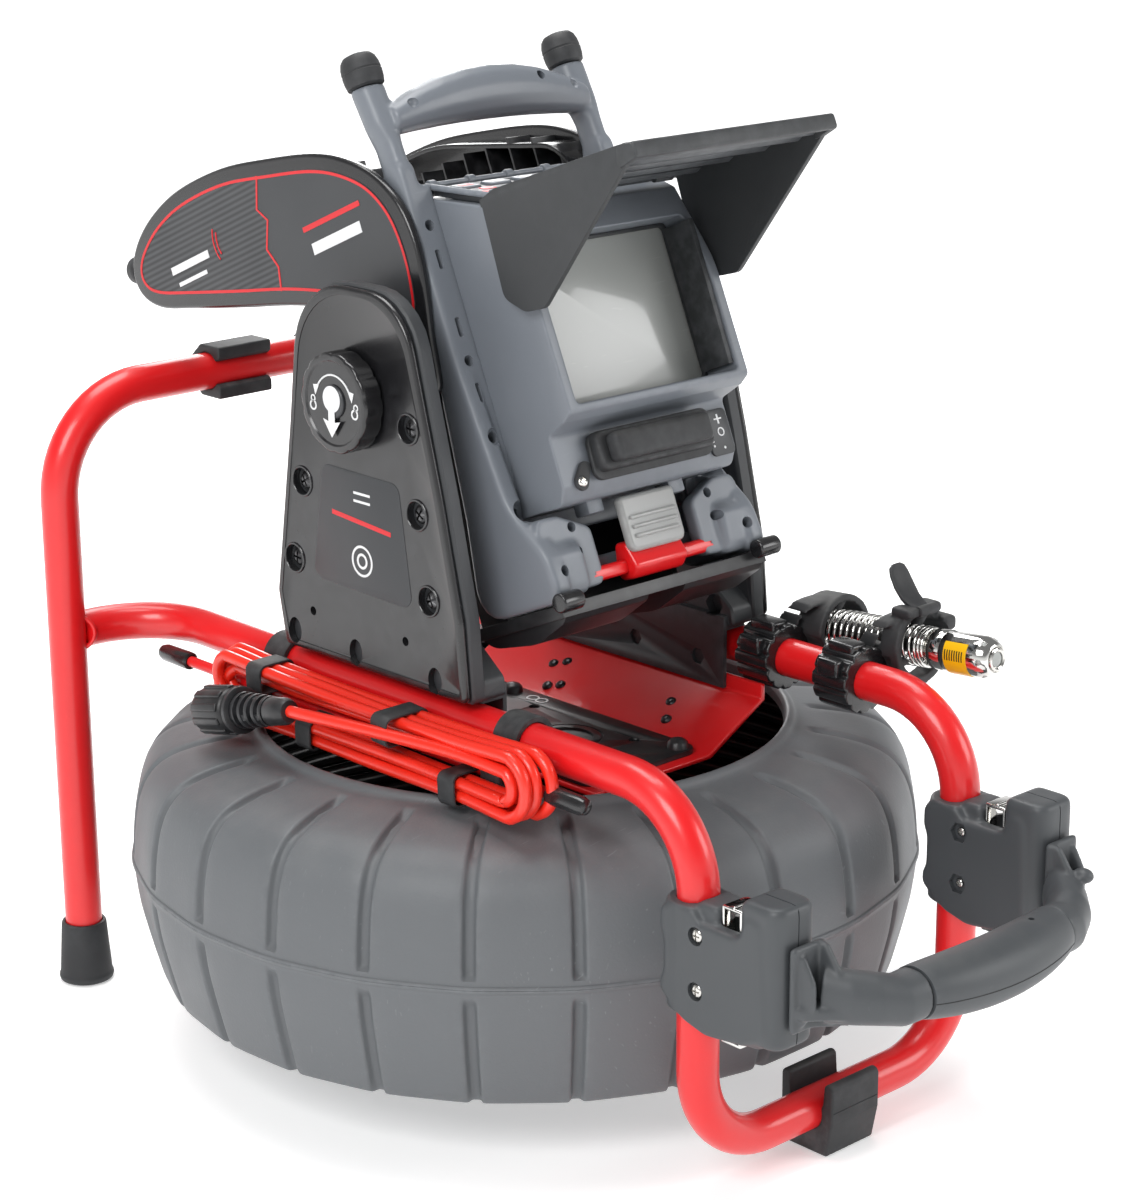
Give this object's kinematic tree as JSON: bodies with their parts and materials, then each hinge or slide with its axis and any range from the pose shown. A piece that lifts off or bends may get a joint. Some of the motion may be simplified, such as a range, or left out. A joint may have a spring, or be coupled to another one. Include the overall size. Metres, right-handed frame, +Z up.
{
  "type": "drain inspection machine",
  "caption": "Wheel-less cable drum in a red tube frame with a docked tilting monitor, front carry handle, camera head in a side holder and a hank of connecting cable.",
  "frame": {"origin": "middle of the footprint, on the floor", "axes": "+Z up, -Y towards the screen and the front handle, +X towards the camera holder"},
  "size_m": [0.4604, 0.6316, 0.5686],
  "materials": {
    "red_paint": "gloss powder coat",
    "steel": "satin",
    "chrome_steel": "polished",
    "drum_plastic": "moulded grain",
    "monitor_plastic": "satin",
    "charcoal_plastic": "moulded grain",
    "black_plastic": "satin",
    "red_plastic": "satin",
    "black_rubber": "matte",
    "cable_jacket": "satin",
    "screen_cover": "clear coated"
  },
  "bodies": {
    "frame": {"rear_hoop": "red_paint", "front_loop": "red_paint", "foot_left": "black_rubber", "foot_right": "black_rubber", "rear_bar_clip_left": "black_rubber", "rear_bar_clip_right": "black_rubber", "front_bar_clip": "black_rubber", "dock_bracket": "red_paint", "hub_plate": "black_plastic", "spindle": "steel", "spindle_bearing": "steel", "dock_shell_left": "charcoal_plastic", "dock_shell_right": "charcoal_plastic", "dock_cover_left": "black_plastic", "dock_cover_right": "black_plastic", "clamp_left": "charcoal_plastic", "clamp_right": "charcoal_plastic", "clamp_strap_left": "chrome_steel", "clamp_strap_right": "chrome_steel", "handle_arm_left": "charcoal_plastic", "handle_arm_right": "charcoal_plastic", "handle_grip": "charcoal_plastic", "wrap_rod": "red_paint", "rod_clip_rear": "black_rubber", "rod_clip_front": "black_rubber", "cord_tail": "cable_jacket", "cord_hank": "cable_jacket", "cord_lead": "cable_jacket", "connector_boot": "black_rubber", "connector_nut": "black_plastic", "camera_holder": "black_rubber"},
    "drum": {"drum_upper": "drum_plastic", "drum_lower": "drum_plastic", "drum_hub": "black_plastic", "push_cable_coil": "black_rubber"},
    "knob": {"tilt_knob": "black_plastic"},
    "cradle": {"dock_cradle": "charcoal_plastic"},
    "release": {"release_lever": "red_plastic"},
    "monitor": {"monitor_frame": "monitor_plastic", "wing_left": "black_plastic", "wing_right": "black_plastic", "wing_bumper_left": "black_rubber", "wing_bumper_right": "black_rubber", "horn_cap_left": "black_rubber", "horn_cap_right": "black_rubber", "screen_housing": "monitor_plastic", "screen_window": "screen_cover", "keypad": "charcoal_plastic"},
    "power_button": {"key_power": "monitor_plastic"},
    "menu_button": {"key_menu": "monitor_plastic"},
    "lamp_button": {"key_lamp": "monitor_plastic"},
    "record_button": {"key_record": "monitor_plastic"},
    "select_button": {"key_select": "monitor_plastic"},
    "visor": {"sun_visor": "charcoal_plastic"},
    "port_flap": {"port_cover": "black_rubber"},
    "front_latch": {"latch": "monitor_plastic"},
    "battery": {"battery_pack": "black_plastic"},
    "holder_tab": {"holder_latch": "black_rubber"},
    "camera": {"camera_head": "chrome_steel", "camera_spring": "chrome_steel"}
  },
  "joints": [
    {"name": "drum_spin", "type": "hinge", "parent": "frame", "child": "drum", "pos_m": [0, 0.0533, 0.1], "axis": [0, 0, 1], "continuous": true},
    {"name": "knob_turn", "type": "hinge", "parent": "frame", "child": "knob", "pos_m": [-0.118, 0.0583, 0.39], "axis": [1, 0, 0], "range_deg": [-90, 90]},
    {"name": "dock_tilt", "type": "hinge", "parent": "frame", "child": "cradle", "pos_m": [0, 0.0583, 0.39], "axis": [1, 0, 0], "range_deg": [-7, 30]},
    {"name": "lever_pull", "type": "hinge", "parent": "cradle", "child": "release", "pos_m": [0, -0.04755, 0.29751], "axis": [1, 0, 0], "range_deg": [-15, 0], "stiffness_Nm_per_rad": 0.3},
    {"name": "monitor_undock", "type": "slide", "parent": "cradle", "child": "monitor", "axis": [0, 0.3907, 0.9205], "range_m": [0, 0.08]},
    {"name": "visor_fold", "type": "hinge", "parent": "monitor", "child": "visor", "pos_m": [0, -0.01267, 0.49997], "axis": [1, 0, 0], "range_deg": [0, 83]},
    {"name": "port_flap_lift", "type": "hinge", "parent": "monitor", "child": "port_flap", "pos_m": [0, -0.04941, 0.3776], "axis": [1, 0, 0], "range_deg": [-90, 0]},
    {"name": "front_latch_lift", "type": "hinge", "parent": "monitor", "child": "front_latch", "pos_m": [0, -0.044, 0.33402], "axis": [1, 0, 0], "range_deg": [-30, 0], "stiffness_Nm_per_rad": 0.2},
    {"name": "battery_slide", "type": "slide", "parent": "monitor", "child": "battery", "axis": [0, 0.3907, 0.9205], "range_m": [0, 0.06]},
    {"name": "holder_tab_lift", "type": "hinge", "parent": "frame", "child": "holder_tab", "pos_m": [0.137, -0.1337, 0.2592], "axis": [1, 0, 0], "range_deg": [0, 50]},
    {"name": "camera_draw", "type": "slide", "parent": "frame", "child": "camera", "axis": [0, -0.9971, 0.0758], "range_m": [0, 0.06]},
    {"name": "power_press", "type": "slide", "parent": "monitor", "child": "power_button", "axis": [0, -0.0175, -0.9998], "range_m": [0, 0.001], "stiffness_N_per_m": 600},
    {"name": "menu_press", "type": "slide", "parent": "monitor", "child": "menu_button", "axis": [0, -0.0175, -0.9998], "range_m": [0, 0.001], "stiffness_N_per_m": 600},
    {"name": "lamp_press", "type": "slide", "parent": "monitor", "child": "lamp_button", "axis": [0, -0.0175, -0.9998], "range_m": [0, 0.001], "stiffness_N_per_m": 600},
    {"name": "record_press", "type": "slide", "parent": "monitor", "child": "record_button", "axis": [0, -0.0175, -0.9998], "range_m": [0, 0.001], "stiffness_N_per_m": 600},
    {"name": "select_press", "type": "slide", "parent": "monitor", "child": "select_button", "axis": [0, -0.0175, -0.9998], "range_m": [0, 0.001], "stiffness_N_per_m": 600}
  ]
}
